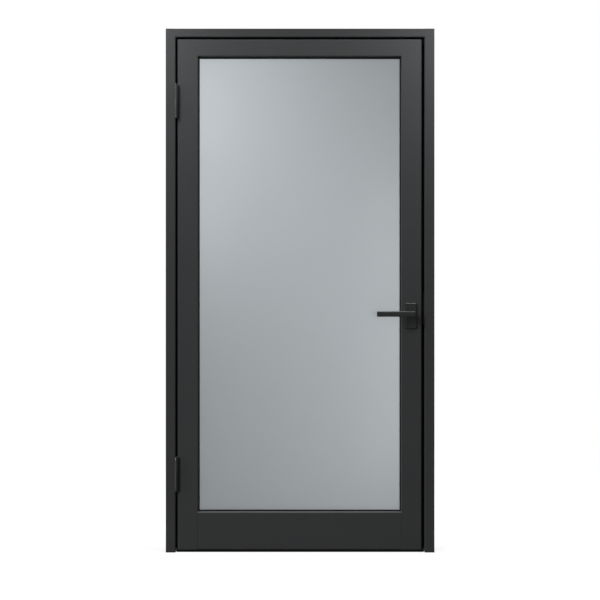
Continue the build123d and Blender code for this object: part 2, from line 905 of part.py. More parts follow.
block_height = rebate_width - glass_cover
quarter = glass_width / 4
side_block_z = daylight_height / 2 - setting_block_length
with BuildPart() as setting_blocks:
    with Locations((daylight_x - quarter, 0, tube_bottom), (daylight_x + quarter, 0, tube_bottom)):
        Box(setting_block_length, glass_thickness, block_height, align=(C, C, LOW))
    for block_z in (daylight_z - side_block_z, daylight_z + side_block_z):
        with Locations((tube_left, 0, block_z)):
            Box(block_height, glass_thickness, setting_block_length, align=(LOW, C, C))
        with Locations((tube_right, 0, block_z)):
            Box(block_height, glass_thickness, setting_block_length, align=(HIGH, C, C))
keep(setting_blocks, "setting_blocks")


# Seal under the bottom rail

bottom_seal_left = reveal_left + bottom_seal_end_gap
bottom_seal_length = reveal_right - bottom_seal_end_gap - bottom_seal_left
carrier_rib_length = daylight_width - 2 * joint_gap
carrier_bottom = leaf_bottom - bottom_seal_height

with BuildPart() as bottom_seal_carrier:
    with Locations((bottom_seal_left, 0, carrier_bottom)):
        Box(bottom_seal_length, bottom_seal_width, bottom_seal_height, align=(LOW, C, LOW))
    with Locations((daylight_x, 0, leaf_bottom)):
        Box(carrier_rib_length, groove_width - 2 * rib_play, groove_depth - rib_play, align=(C, C, LOW))
keep(bottom_seal_carrier, "bottom_seal_carrier")

blade_height = carrier_bottom - blade_floor_gap
with BuildPart() as bottom_seal_blades:
    with BuildSketch(facing_x(bottom_seal_left, 0, carrier_bottom, 1)):
        for edge, inward in ((-bottom_seal_width / 2, 1), (bottom_seal_width / 2, -1)):
            with BuildLine():
                Polyline(
                    (edge, 0),
                    (edge + inward * blade_thickness, 0),
                    (edge + inward * blade_tip, -blade_height),
                    (edge, -blade_height),
                    close=True,
                )
            make_face()
    extrude(amount=bottom_seal_length)
keep(bottom_seal_blades, "bottom_seal_blades")


# Mortise latch in the lock stile

inner_left = case_left + case_wall
inner_right = forend_back - case_wall
cover_inside = case_half - case_wall
case_height = case_top - case_bottom
heel_x = lever_x - follower_heel_reach * sin(radians(follower_rest))
heel_z = lever_height - follower_heel_reach * cos(radians(follower_rest))
latch_window_height = latch_head_height + 2 * latch_clearance

with BuildPart() as lock_case:
    with Locations((case_left, -case_half, case_bottom)):
        Box(case_depth, case_thickness - case_wall, case_height, align=(LOW, LOW, LOW))
    with Locations((inner_left, -cover_inside, case_bottom + case_wall)):
        Box(
            inner_right - inner_left,
            2 * cover_inside,
            case_height - 2 * case_wall,
            align=(LOW, LOW, LOW),
            mode=Mode.SUBTRACT,
        )
    # Window for the latch head, and the tab that guides its rod
    with Locations((inner_right, 0, latch_z)):
        Box(2 * case_wall, 2 * cover_inside, latch_window_height, mode=Mode.SUBTRACT)
    with Locations((guide_right, 0, latch_z)):
        Box(guide_thickness, 2 * cover_inside, guide_height, align=(HIGH, C, C))
    with Locations(facing_x(guide_right, 0, latch_z, 1)):
        Hole(latch_rod_radius + running_clearance, guide_thickness)
    # Rest stop of the follower's heel
    with BuildSketch(frontal(cover_inside)):
        with Locations((heel_x - follower_tip_radius - heel_gap - stop_post_radius, heel_z)):
            Circle(stop_post_radius)
    extrude(amount=2 * cover_inside)
    # Follower bearing and the passages of the plate bolts
    with Locations(outward(-1, lever_x, lever_height, -leaf_back + case_half)):
        Hole(follower_radius + running_clearance, 2 * case_wall)
    with Locations(*[outward(-1, lever_x, z, -leaf_back + case_half) for z in post_heights]):
        Hole(plate_bolt_radius + plate_bolt_play, 2 * case_wall)
keep(lock_case, "lock_case")

with BuildPart() as lock_cover:
    with Locations((case_left, cover_inside, case_bottom)):
        Box(case_depth, case_wall, case_height, align=(LOW, LOW, LOW))
    with Locations(outward(1, lever_x, lever_height, -leaf_back + case_half)):
        Hole(follower_radius + running_clearance, case_wall)
    with Locations(*[outward(1, lever_x, z, -leaf_back + case_half) for z in post_heights]):
        Hole(plate_bolt_radius + plate_bolt_play, case_wall)
keep(lock_cover, "lock_cover")

with BuildPart() as lock_forend:
    with BuildSketch(facing_x(forend_back, 0, forend_z, 1)):
        Rectangle(forend_width, forend_length)
    extrude(amount=groove_depth)
    with Locations((forend_back, 0, latch_z)):
        Box(
            2 * groove_depth,
            latch_head_width + 2 * latch_clearance,
            latch_window_height,
            mode=Mode.SUBTRACT,
        )
    with Locations(*forend_screw_planes):
        CounterSinkHole(screw_hole, screw_sink, groove_depth, sink_angle)
keep(lock_forend, "lock_forend")

forend_screws = countersunk(forend_screw_planes, screw_radius, screw_head_radius, screw_length)
keep(forend_screws, "forend_screws")

half_head = latch_head_width / 2
lug_right = lever_x + latch_travel / 2 - follower_tip_radius - follower_play
with BuildPart() as latch_bolt:
    # Head with its bevel towards the back, so that it rides in as the leaf shuts
    with BuildSketch(Plane.XY.offset(latch_z)) as head:
        with BuildLine():
            Polyline(
                (latch_head_back, -half_head),
                (latch_tip, -half_head),
                (latch_tip, -half_head + latch_flat),
                (latch_tip - latch_bevel, half_head),
                (latch_head_back, half_head),
                close=True,
            )
        make_face()
        fillet(head.vertices().group_by(Axis.X)[-1], latch_nose_radius)
    extrude(amount=latch_head_height / 2, both=True)
    # Rod and the lug that the follower pulls
    with BuildSketch(facing_x(lug_right, 0, latch_z, 1)):
        Circle(latch_rod_radius)
    extrude(amount=latch_head_back - lug_right)
    with Locations((lug_right, 0, lever_height + latch_lug_bottom)):
        Box(
            latch_lug_thickness,
            latch_lug_width,
            latch_lug_top - latch_lug_bottom,
            align=(HIGH, C, LOW),
        )
keep(latch_bolt, "latch_bolt")

with BuildPart() as follower:
    with BuildSketch(frontal(case_half, lever_x, lever_height)):
        Circle(follower_radius)
    extrude(amount=case_thickness)
    with BuildSketch(frontal(follower_thickness / 2, lever_x, lever_height)):
        with Locations(Location((0, 0), -follower_rest)):
            Rectangle(follower_arm_width, follower_reach, align=(C, LOW))
            Rectangle(follower_arm_width, follower_heel_reach, align=(C, HIGH))
            with Locations((0, follower_reach), (0, -follower_heel_reach)):
                Circle(follower_tip_radius)
    extrude(amount=follower_thickness)
    with BuildSketch(frontal(case_half, lever_x, lever_height)):
        Rectangle(spindle_side + 2 * spindle_clearance, spindle_side + 2 * spindle_clearance)
    extrude(amount=case_thickness, mode=Mode.SUBTRACT)
keep(follower, "follower")


def coil_spring(start, end, turns):
    """A coil of fine eight-sided wire between two points along X."""
    height = end[0] - start[0] - 2 * spring_end_gap
    with BuildPart() as spring:
        with BuildLine() as coil:
            Helix(
                pitch=height / turns,
                height=height,
                radius=spring_radius,
                center=(start[0] + spring_end_gap, start[1], start[2]),
                direction=(1, 0, 0),
            )
        with BuildSketch(Plane(origin=coil.line @ 0, z_dir=coil.line % 0)):
            RegularPolygon(spring_wire_radius, spring_wire_sides)
        sweep()
    return spring


latch_spring = coil_spring((guide_right, 0, latch_z), (latch_head_back, 0, latch_z), latch_spring_turns)
keep(latch_spring, "latch_spring")

follower_spring = coil_spring(
    (heel_x + follower_tip_radius + heel_spring_gap, 0, heel_z),
    (inner_right, 0, heel_z),
    follower_spring_turns,
)
keep(follower_spring, "follower_spring")


# Lever handles on both sides, turning on one square spindle

bar_middle = lever_x + lever_end_overhang - lever_length / 2
square_hole = spindle_side + 2 * spindle_clearance
spindle_reach = spindle_length / 2 - leaf_back

for side, place in ((-1, "front"), (1, "back")):
    with BuildPart() as lever:
        with BuildSketch(outward(side, bar_middle, lever_height, lever_standoff)):
            RectangleRounded(lever_length, lever_bar_height, lever_corner)
        extrude(amount=lever_bar_thickness)
        outer_rim = lever.faces().sort_by(Axis.Y)[0 if side < 0 else -1].edges()
        chamfer(outer_rim, lever_edge)
        inner_rim = lever.faces().sort_by(Axis.Y)[-1 if side < 0 else 0].edges()
        fillet(inner_rim, lever_back_edge)
        # Round neck, thinner where it turns in the bush
        with BuildSketch(outward(side, lever_x, lever_height, plate_depth + neck_gap)):
            Circle(neck_radius)
        extrude(amount=lever_standoff - plate_depth - neck_gap + lever_bar_thickness / 2)
        with BuildSketch(outward(side, lever_x, lever_height, neck_gap)):
            Circle(journal_radius)
        extrude(amount=plate_depth)
        with BuildSketch(outward(side, lever_x, lever_height, neck_gap)):
            Rectangle(square_hole, square_hole)
        extrude(amount=spindle_reach, mode=Mode.SUBTRACT)
        # Grub screw hole in the underside of the neck
        grub_y = side * (leaf_back + grub_out)
        with Locations((lever_x, grub_y, lever_height)):
            Cylinder(grub_radius + press_clearance, 2 * neck_radius, align=(C, C, HIGH), mode=Mode.SUBTRACT)
    keep(lever, f"{place}_lever")

    with BuildPart() as plate_cover:
        with BuildSketch(outward(side, lever_x, plate_z, 0)):
            RectangleRounded(plate_width, plate_height, plate_corner)
        extrude(amount=plate_depth)
        chamfer(plate_cover.faces().sort_by(Axis.Y)[0 if side < 0 else -1].edges(), plate_edge)
        with BuildSketch(outward(side, lever_x, plate_z, 0)):
            Rectangle(plate_width - 2 * plate_wall, plate_height - 2 * plate_wall)
        extrude(amount=plate_depth - plate_wall, mode=Mode.SUBTRACT)
        with Locations(outward(side, lever_x, lever_height, plate_depth)):
            Hole(journal_radius + journal_play, plate_depth)
    keep(plate_cover, f"{place}_plate_cover")

    with BuildPart() as plate_base:
        with BuildSketch(outward(side, lever_x, plate_z, 0)):
            Rectangle(
                plate_width - 2 * plate_wall - 2 * base_clearance,
                plate_height - 2 * plate_wall - 2 * base_clearance,
            )
        extrude(amount=base_depth)
        with Locations(outward(side, lever_x, lever_height, base_depth)):
            Hole(bush_radius + press_clearance, base_depth)
        if side < 0:
            # Threaded posts that reach into the stile
            with BuildSketch(*[outward(side, lever_x, z, 0) for z in post_heights]):
                Circle(post_radius)
            extrude(amount=-post_length)
            with Locations(*[outward(side, lever_x, z, base_depth) for z in post_heights]):
                Hole(plate_bolt_radius + press_clearance, base_depth + post_length)
        else:
            with Locations(*[outward(side, lever_x, z, base_depth) for z in post_heights]):
                CounterSinkHole(
                    plate_bolt_radius + screw_clearance,
                    plate_bolt_head_radius + screw_clearance,
                    base_depth,
                    sink_angle,
                )
    keep(plate_base, f"{place}_plate_base")

    with BuildPart() as bush:
        with BuildSketch(outward(side, lever_x, lever_height, 0)):
            Circle(bush_radius)
            Circle(journal_radius + running_clearance, mode=Mode.SUBTRACT)
        extrude(amount=base_depth)
    keep(bush, f"{place}_lever_bush")

plate_bolts = countersunk(
    [outward(1, lever_x, z, base_depth) for z in post_heights],
    plate_bolt_radius,
    plate_bolt_head_radius,
    plate_bolt_length,
)
keep(plate_bolts, "plate_bolts")

with BuildPart() as spindle:
    with BuildSketch(frontal(spindle_length / 2, lever_x, lever_height)):
        Rectangle(spindle_side, spindle_side)
    extrude(amount=spindle_length)
keep(spindle, "spindle")

grub_top = lever_height - spindle_side / 2 - 2 * spindle_clearance
with BuildPart() as lever_grub_screws:
    for grub_side in (-1, 1):
        with Locations((lever_x, grub_side * (leaf_back + grub_out), grub_top)):
            Cylinder(grub_radius, grub_length, align=(C, C, HIGH))
    with BuildSketch(Plane.XY.offset(grub_top - grub_length)):
        with GridLocations(0, 2 * (leaf_back + grub_out), 1, 2):
            with Locations((lever_x, 0)):
                RegularPolygon(socket_radius, socket_sides)
    extrude(amount=grub_length / 2, mode=Mode.SUBTRACT)
keep(lever_grub_screws, "lever_grub_screws")
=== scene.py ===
"""Looks of a framed glass door: a finish for every piece, threaded fixings, coil springs and a white studio.

All sizes are in metres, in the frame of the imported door: X across the opening, Y from front to back, Z up.
"""

import json
from math import ceil, cos, pi, radians, sin

import bmesh
import bpy
from bpy.props import FloatProperty, FloatVectorProperty, IntProperty, PointerProperty
from bpy.types import Operator, Panel, PropertyGroup
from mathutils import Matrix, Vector

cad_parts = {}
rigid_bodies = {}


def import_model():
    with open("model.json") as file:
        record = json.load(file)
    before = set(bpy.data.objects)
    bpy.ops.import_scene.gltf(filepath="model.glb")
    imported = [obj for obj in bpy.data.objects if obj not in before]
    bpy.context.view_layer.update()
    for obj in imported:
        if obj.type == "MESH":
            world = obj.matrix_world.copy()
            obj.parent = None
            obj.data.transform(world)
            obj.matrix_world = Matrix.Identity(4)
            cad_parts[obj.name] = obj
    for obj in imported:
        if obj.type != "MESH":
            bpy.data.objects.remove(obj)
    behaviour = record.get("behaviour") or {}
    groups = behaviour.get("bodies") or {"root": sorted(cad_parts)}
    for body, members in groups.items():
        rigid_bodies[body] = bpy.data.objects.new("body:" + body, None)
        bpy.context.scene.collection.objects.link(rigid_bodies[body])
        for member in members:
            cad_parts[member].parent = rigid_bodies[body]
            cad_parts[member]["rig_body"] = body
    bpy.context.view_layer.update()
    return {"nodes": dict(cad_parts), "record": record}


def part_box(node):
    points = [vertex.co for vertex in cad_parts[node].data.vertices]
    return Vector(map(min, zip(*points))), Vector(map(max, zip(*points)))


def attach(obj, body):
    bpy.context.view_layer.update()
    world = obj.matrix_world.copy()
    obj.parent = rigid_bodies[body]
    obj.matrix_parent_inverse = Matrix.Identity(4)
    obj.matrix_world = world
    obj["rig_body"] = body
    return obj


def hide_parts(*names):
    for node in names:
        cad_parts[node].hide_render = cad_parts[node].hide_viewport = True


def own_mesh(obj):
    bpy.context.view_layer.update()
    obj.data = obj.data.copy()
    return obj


bl_info = {
    "name": "Glass door looks",
    "version": (1, 0, 0),
    "blender": (4, 5, 0),
    "location": "3D View > Sidebar > Glass Door",
    "description": "Finishes a framed glass door and stands it in a plain white studio",
    "category": "Object",
}

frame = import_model()
MM = 0.001

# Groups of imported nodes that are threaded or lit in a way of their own
NODE_NAMES = sorted(frame["nodes"])
FIXING_NODES = [name for name in NODE_NAMES if name.endswith(("_screws", "_bolts"))]
HINGE_NODES = [name for name in NODE_NAMES if name.endswith(("_frame_half", "_leaf_half"))]
LEVER_NODES = [name for name in NODE_NAMES if name.endswith("_lever")]

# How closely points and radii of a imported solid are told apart
SAME_POINT = 0.01 * MM
RADIUS_DECIMALS = 5

# The attribute that says which way a fixing points, and the sides of its key socket
AXIS_NAME = "fixing_axis"
SOCKET_SIDES = 6

# How finely threads and springs are divided
STEPS_PER_THREAD = 4
STEPS_PER_COIL = 32
WIRE_SIDES = 12

# How far roughness strays from its mean over a grained surface and over drawn lines
GRAIN_SPREAD = 0.08
LINE_SPREAD = 0.1

SENSOR_MM = 36
FLOOR_HALF = 20
WHITE = (1, 1, 1, 1)


# Settings that a user would change


def colour_setting(label, words, default):
    """A colour in linear red, green and blue."""
    return FloatVectorProperty(
        name=label, description=words, subtype="COLOR", size=3, min=0, max=1, default=default
    )


def length_setting(label, words, default):
    """A length in metres."""
    return FloatProperty(name=label, description=words, default=default, min=0, unit="LENGTH", precision=5)


def share_setting(label, words, default):
    """A plain share from 0 to 1."""
    return FloatProperty(name=label, description=words, default=default, min=0, max=1, subtype="FACTOR")


def number_setting(label, words, default, least=0):
    """A plain number with a lower limit."""
    return FloatProperty(name=label, description=words, default=default, min=least)


class DoorFinishSettings(PropertyGroup):
    """Colours and gloss of the door's surfaces."""

    coat_colour: colour_setting("Coat", "Powder coat of the frame and the leaf", (0.04, 0.041, 0.042))
    coat_roughness: share_setting("Coat roughness", "How matt the powder coat is", 0.56)
    coat_gloss: share_setting("Coat gloss", "How strongly the powder coat reflects", 0.06)
    hardware_colour: colour_setting("Hardware", "Coat of hinges, levers and plates", (0.027, 0.0275, 0.028))
    hardware_roughness: share_setting("Hardware roughness", "How matt the hardware is", 0.26)
    hardware_gloss: share_setting("Hardware gloss", "How strongly the hardware reflects", 0.06)
    glass_colour: colour_setting("Glass", "Tint of the satin pane", (0.446, 0.477, 0.494))
    glass_roughness: share_setting("Glass front", "How soft reflections in the pane's front are", 0.2)
    etch_roughness: share_setting("Glass etch", "How matt the pane's etched back face is", 0.95)
    glass_gloss: share_setting("Glass gloss", "How strongly the pane reflects", 0.5)
    glass_index: number_setting("Glass index", "How far the pane bends light", 1.5, least=1)
    glass_transmission: share_setting("Glass transmission", "How much light the pane lets through", 0.5)
    rubber_colour: colour_setting("Rubber", "Gaskets and seals", (0.002, 0.002, 0.002))
    rubber_roughness: share_setting("Rubber roughness", "How matt the rubber is", 0.72)
    rubber_gloss: share_setting("Rubber gloss", "How strongly the rubber reflects", 0.05)
    plastic_colour: colour_setting("Plastic", "Caps, packers and bearings", (0.004, 0.004, 0.0042))
    plastic_roughness: share_setting("Plastic roughness", "How matt the plastic is", 0.5)
    plastic_gloss: share_setting("Plastic gloss", "How strongly the plastic reflects", 0.1)
    steel_colour: colour_setting("Steel", "Stainless fixings and lock parts", (0.55, 0.55, 0.54))
    steel_roughness: share_setting("Steel roughness", "How matt the steel is", 0.34)
    aluminium_colour: colour_setting("Aluminium", "Bare corner cleats", (0.62, 0.62, 0.63))
    aluminium_roughness: share_setting("Aluminium roughness", "How matt the cleats are", 0.45)


class DoorFixingSettings(PropertyGroup):
    """Sizes of the threads and springs."""

    pitch_share: share_setting("Thread pitch", "Pitch as a share of the shank's diameter", 0.17)
    depth_share: share_setting("Thread depth", "Depth as a share of the pitch", 0.5)
    socket_radius: length_setting("Socket", "Radius over the corners of the key socket", 1.7 * MM)
    socket_depth: length_setting("Socket depth", "Depth of the key socket", 1.6 * MM)
    facets: IntProperty(
        name="Facets", description="Facets on each side of a key socket", default=4, min=2, max=8
    )
    wire_radius: length_setting("Spring wire", "Radius of the spring wire", 0.4 * MM)
    latch_turns: number_setting("Latch turns", "Coils of the latch spring", 5, least=2)
    latch_keep: share_setting("Latch spring pressed", "Length left when the latch is drawn back", 0.34)
    follower_turns: number_setting("Lever turns", "Coils of the lever spring", 9, least=2)
    follower_keep: share_setting("Lever spring pressed", "Length left when the lever is down", 0.74)


class DoorStudioSettings(PropertyGroup):
    """Camera, lamps and ground of the studio."""

    lens: FloatProperty(
        name="Lens", description=f"Focal length on a {SENSOR_MM} mm sensor", default=50, unit="CAMERA"
    )
    camera_distance: length_setting("Camera distance", "From the camera to the door's front face", 3.41)
    camera_height: length_setting("Camera height", "Of the lens above the floor", 1.0334)
    camera_side: FloatProperty(
        name="Camera side", description="Of the lens across the opening", default=-0.0004, unit="LENGTH"
    )
    ambient: number_setting("Ambient", "Even light from all round", 0.02)
    lamp_level: number_setting("Lamp level", "Scales all softboxes", 1)
    floor_colour: colour_setting("Floor", "Pale ground under the door", (0.8, 0.8, 0.8))
    floor_glow: share_setting("Floor glow", "How far the ground at the door is white by itself", 0.85)
    floor_bounce: share_setting("Floor bounce", "How much of its light the ground throws back up", 0.1)
    floor_near: length_setting("Floor shadow", "How far from the middle the ground keeps a full shadow", 1.0)
    floor_far: length_setting("Floor white", "How far from the middle the ground turns plain white", 3.0)


# Node helpers


def add_node(tree, kind, settings=None, inputs=None):
    """Add a node, set its properties, and set or link its inputs."""
    node = tree.nodes.new(kind)
    for name, value in (settings or {}).items():
        setattr(node, name, value)
    for name, value in (inputs or {}).items():
        if isinstance(value, bpy.types.NodeSocket):
            tree.links.new(value, node.inputs[name])
        else:
            node.inputs[name].default_value = value
    return node


def add_math(tree, operation, first, second):
    """One arithmetic step between two values or sockets."""
    return add_node(tree, "ShaderNodeMath", {"operation": operation}, {0: first, 1: second}).outputs[0]


def add_range(tree, value, low, high, start=0.0, end=1.0):
    """Spread a value that runs from start to end over a range from low to high."""
    limits = {"Value": value, "From Min": start, "From Max": end, "To Min": low, "To Max": high}
    return add_node(tree, "ShaderNodeMapRange", None, limits).outputs["Result"]


def add_noise(tree, place, scale, detail, roughness):
    """Soft noise from 0 to 1."""
    inputs = {"Vector": place, "Scale": scale, "Detail": detail, "Roughness": roughness}
    return add_node(tree, "ShaderNodeTexNoise", None, inputs).outputs["Fac"]


def object_place(tree):
    """Where a point of the surface is, in the door's own frame."""
    return add_node(tree, "ShaderNodeTexCoord").outputs["Object"]


def new_group(name, kind, inputs, outputs):
    """An empty node group with named sockets, and its input and output nodes."""
    tree = bpy.data.node_groups.new(name, kind)
    for label, socket in inputs.items():
        tree.interface.new_socket(label, in_out="INPUT", socket_type=socket)
    for label, socket in outputs.items():
        tree.interface.new_socket(label, in_out="OUTPUT", socket_type=socket)
    return tree, tree.nodes.new("NodeGroupInput"), tree.nodes.new("NodeGroupOutput")


def surface_grain():
    """Fine grain and broad mottling of a coated, moulded or etched surface, each from 0 to 1."""
    if "Surface grain" in bpy.data.node_groups:
        return bpy.data.node_groups["Surface grain"]
    tree, given, result = new_group(
        "Surface grain",
        "ShaderNodeTree",
        {"Grain per metre": "NodeSocketFloat", "Mottle per metre": "NodeSocketFloat"},
        {"Grain": "NodeSocketFloat", "Mottle": "NodeSocketFloat"},
    )
    place = object_place(tree)
    for label in ("Grain", "Mottle"):
        noise = add_noise(tree, place, given.outputs[f"{label} per metre"], detail=3.0, roughness=0.6)
        tree.links.new(noise, result.inputs[label])
    return tree


def drawn_lines():
    """Fine lines that run one way along drawn or brushed metal, from 0 to 1."""
    if "Drawn lines" in bpy.data.node_groups:
        return bpy.data.node_groups["Drawn lines"]
    tree, given, result = new_group(
        "Drawn lines",
        "ShaderNodeTree",
        {"Lines per metre": "NodeSocketVector"},
        {"Lines": "NodeSocketFloat"},
    )
    stretched = add_node(
        tree,
        "ShaderNodeVectorMath",
        {"operation": "MULTIPLY"},
        {0: object_place(tree), 1: given.outputs["Lines per metre"]},
    )
    noise = add_noise(tree, stretched.outputs[0], scale=1.0, detail=2.0, roughness=0.5)
    tree.links.new(noise, result.inputs["Lines"])
    return tree


# Finishes


def new_material(name):
    """An empty material with its Principled shader."""
    material = bpy.data.materials.new(name)
    material.use_nodes = True
    tree = material.node_tree
    tree.nodes.clear()
    shader = tree.nodes.new("ShaderNodeBsdfPrincipled")
    output = tree.nodes.new("ShaderNodeOutputMaterial")
    tree.links.new(shader.outputs[0], output.inputs["Surface"])
    return material, tree, shader


def add_mottle(tree, shader, colour, spread, mask):
    """Let a colour drift a little darker and lighter over the surface."""
    darker = (*[c * (1 - spread) for c in colour], 1)
    lighter = (*[c * (1 + spread) for c in colour], 1)
    mix = add_node(tree, "ShaderNodeMix", {"data_type": "RGBA"}, {0: mask, 6: darker, 7: lighter})
    tree.links.new(mix.outputs[2], shader.inputs["Base Color"])


def add_roughness(tree, shader, roughness, spread, mask):
    """Let the gloss vary a little over the surface."""
    uneven = add_range(tree, mask, roughness - spread, roughness + spread)
    tree.links.new(uneven, shader.inputs["Roughness"])


def add_relief(tree, shader, height, depth):
    """Raise the surface by a height from 0 to 1, scaled to a depth."""
    bump = add_node(tree, "ShaderNodeBump", None, {"Strength": 1.0, "Distance": depth, "Height": height})
    tree.links.new(bump.outputs["Normal"], shader.inputs["Normal"])


def grained_material(name, colour, gloss, grain, mottle, depth, spread=0.06):
    """A coated, moulded or etched surface, mottled and grained, with its tree, shader and grain mask."""
    material, tree, shader = new_material(name)
    scales = {"Grain per metre": grain, "Mottle per metre": mottle}
    texture = add_node(tree, "ShaderNodeGroup", {"node_tree": surface_grain()}, scales).outputs
    add_mottle(tree, shader, colour, spread, texture["Mottle"])
    add_relief(tree, shader, texture["Grain"], depth)
    shader.inputs["Specular IOR Level"].default_value = gloss
    return material, tree, shader, texture["Grain"]


def opaque_material(name, colour, roughness, gloss, **texture):
    """A grained surface that lets no light through, with gloss that varies with its grain."""
    material, tree, shader, grain = grained_material(name, colour, gloss, **texture)
    add_roughness(tree, shader, roughness, GRAIN_SPREAD, grain)
    return material


def metal_material(name, colour, roughness, lines, spread=0.05, depth=2e-6):
    """Bare metal with the fine lines that drawing or brushing leaves."""
    material, tree, shader = new_material(name)
    shader.inputs["Metallic"].default_value = 1
    texture = add_node(tree, "ShaderNodeGroup", {"node_tree": drawn_lines()}, {"Lines per metre": lines})
    add_mottle(tree, shader, colour, spread, texture.outputs["Lines"])
    add_roughness(tree, shader, roughness, LINE_SPREAD, texture.outputs["Lines"])
    add_relief(tree, shader, texture.outputs["Lines"], depth)
    return material


def nodes_with(slot):
    """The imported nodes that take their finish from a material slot."""
    return [part["node"] for part in frame["record"]["subparts"] if part["material_slot"] == slot]


def dress(slot, material):
    """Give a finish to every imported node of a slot."""
    names = nodes_with(slot)
    if not names:
        raise ValueError(f"No packed node takes its finish from the slot {slot}")
    for name in names:
        mesh = frame["nodes"][name].data
        mesh.materials.clear()
        mesh.materials.append(material)


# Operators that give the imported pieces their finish


class DOOR_OT_profiles(Operator):
    """Powder-coat the jambs, head, stiles, rails and beads"""

    bl_idname = "glass_door.profiles"
    bl_label = "Coat the profiles"

    def execute(self, context):
        look = context.scene.door_finish
        coat = opaque_material(
            "charcoal_coat",
            look.coat_colour,
            look.coat_roughness,
            look.coat_gloss,
            grain=1600,
            mottle=5,
            depth=18e-6,
        )
        dress("charcoal_profile", coat)
        return {"FINISHED"}


class DOOR_OT_hardware(Operator):
    """Coat the hinges, levers and handle plates"""

    bl_idname = "glass_door.hardware"
    bl_label = "Coat the hardware"

    def execute(self, context):
        look = context.scene.door_finish
        coat = opaque_material(
            "charcoal_hardware_coat",
            look.hardware_colour,
            look.hardware_roughness,
            look.hardware_gloss,
            grain=2600,
            mottle=30,
            depth=8e-6,
        )
        dress("charcoal_hardware", coat)
        return {"FINISHED"}


class DOOR_OT_glass(Operator):
    """Give the pane its grey tint and the satin etch of its back face"""

    bl_idname = "glass_door.glass"
    bl_label = "Etch the glass"

    def execute(self, context):
        look = context.scene.door_finish
        material, tree, shader, _ = grained_material(
            "satin_grey_glass",
            look.glass_colour,
            look.glass_gloss,
            grain=900,
            mottle=3,
            depth=1e-6,
            spread=0.01,
        )
        depth = add_node(tree, "ShaderNodeSeparateXYZ", None, {"Vector": object_place(tree)}).outputs["Y"]
        front, back = [corner.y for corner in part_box("glass_pane")]
        etch = add_range(tree, depth, look.glass_roughness, look.etch_roughness, front, back)
        tree.links.new(etch, shader.inputs["Roughness"])
        shader.inputs["IOR"].default_value = look.glass_index
        shader.inputs["Transmission Weight"].default_value = look.glass_transmission
        dress("satin_glass", material)
        return {"FINISHED"}


class DOOR_OT_seals(Operator):
    """Finish the rubber gaskets and seals and the moulded plastic pieces"""

    bl_idname = "glass_door.seals"
    bl_label = "Finish the seals"

    def execute(self, context):
        look = context.scene.door_finish
        rubber = opaque_material(
            "black_seal_rubber",
            look.rubber_colour,
            look.rubber_roughness,
            look.rubber_gloss,
            grain=3500,
            mottle=40,
            depth=10e-6,
            spread=0.12,
        )
        dress("black_rubber", rubber)
        plastic = opaque_material(
            "black_moulded_plastic",
            look.plastic_colour,
            look.plastic_roughness,
            look.plastic_gloss,
            grain=5000,
            mottle=60,
            depth=6e-6,
        )
        dress("black_plastic", plastic)
        return {"FINISHED"}


class DOOR_OT_metal(Operator):
    """Finish the stainless lock parts and the bare aluminium cleats"""

    bl_idname = "glass_door.metal"
    bl_label = "Finish the bare metal"

    def execute(self, context):
        look = context.scene.door_finish
        steel = metal_material(
            "brushed_stainless", look.steel_colour, look.steel_roughness, lines=(3500, 3500, 60)
        )
        dress("stainless_steel", steel)
        aluminium = metal_material(
            "mill_aluminium", look.aluminium_colour, look.aluminium_roughness, lines=(50, 1800, 1800)
        )
        dress("mill_aluminium", aluminium)
        return {"FINISHED"}


# Pieces that a node tree grows


def finish_tree(tree, geometry, finish, result):
    """End a tree with plain geometry in its finish."""
    plain = add_node(tree, "GeometryNodeRealizeInstances", None, {"Geometry": geometry}).outputs["Geometry"]
    dressed = add_node(tree, "GeometryNodeSetMaterial", None, {"Geometry": plain, "Material": finish})
    tree.links.new(dressed.outputs["Geometry"], result.inputs["Geometry"])


def grow(context, name, mesh, tree, values, node):
    """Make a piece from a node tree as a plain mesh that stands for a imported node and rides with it."""
    piece = bpy.data.objects.new(name, mesh)
    context.scene.collection.objects.link(piece)
    modifier = piece.modifiers.new("Shape", "NODES")
    modifier.node_group = tree
    sockets = {item.name: item.identifier for item in tree.interface.items_tree if item.in_out == "INPUT"}
    for label, value in values.items():
        modifier[sockets[label]] = value
    made = bpy.data.meshes.new_from_object(piece.evaluated_get(context.evaluated_depsgraph_get()))
    piece.modifiers.remove(modifier)
    piece.data = made
    bpy.data.meshes.remove(mesh)
    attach(piece, frame["nodes"][node]["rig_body"])
    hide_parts(node)
    return piece


# Threaded fixings


def islands(node):
    """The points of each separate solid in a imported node."""
    shell = bmesh.new()
    shell.from_mesh(frame["nodes"][node].data)
    bmesh.ops.remove_doubles(shell, verts=shell.verts, dist=SAME_POINT)
    waiting = set(shell.verts)
    found = []
    while waiting:
        reached = [waiting.pop()]
        for vert in reached:
            fresh = {edge.other_vert(vert) for edge in vert.link_edges} & waiting
            waiting -= fresh
            reached.extend(fresh)
        found.append([vert.co.copy() for vert in reached])
    shell.free()
    return found


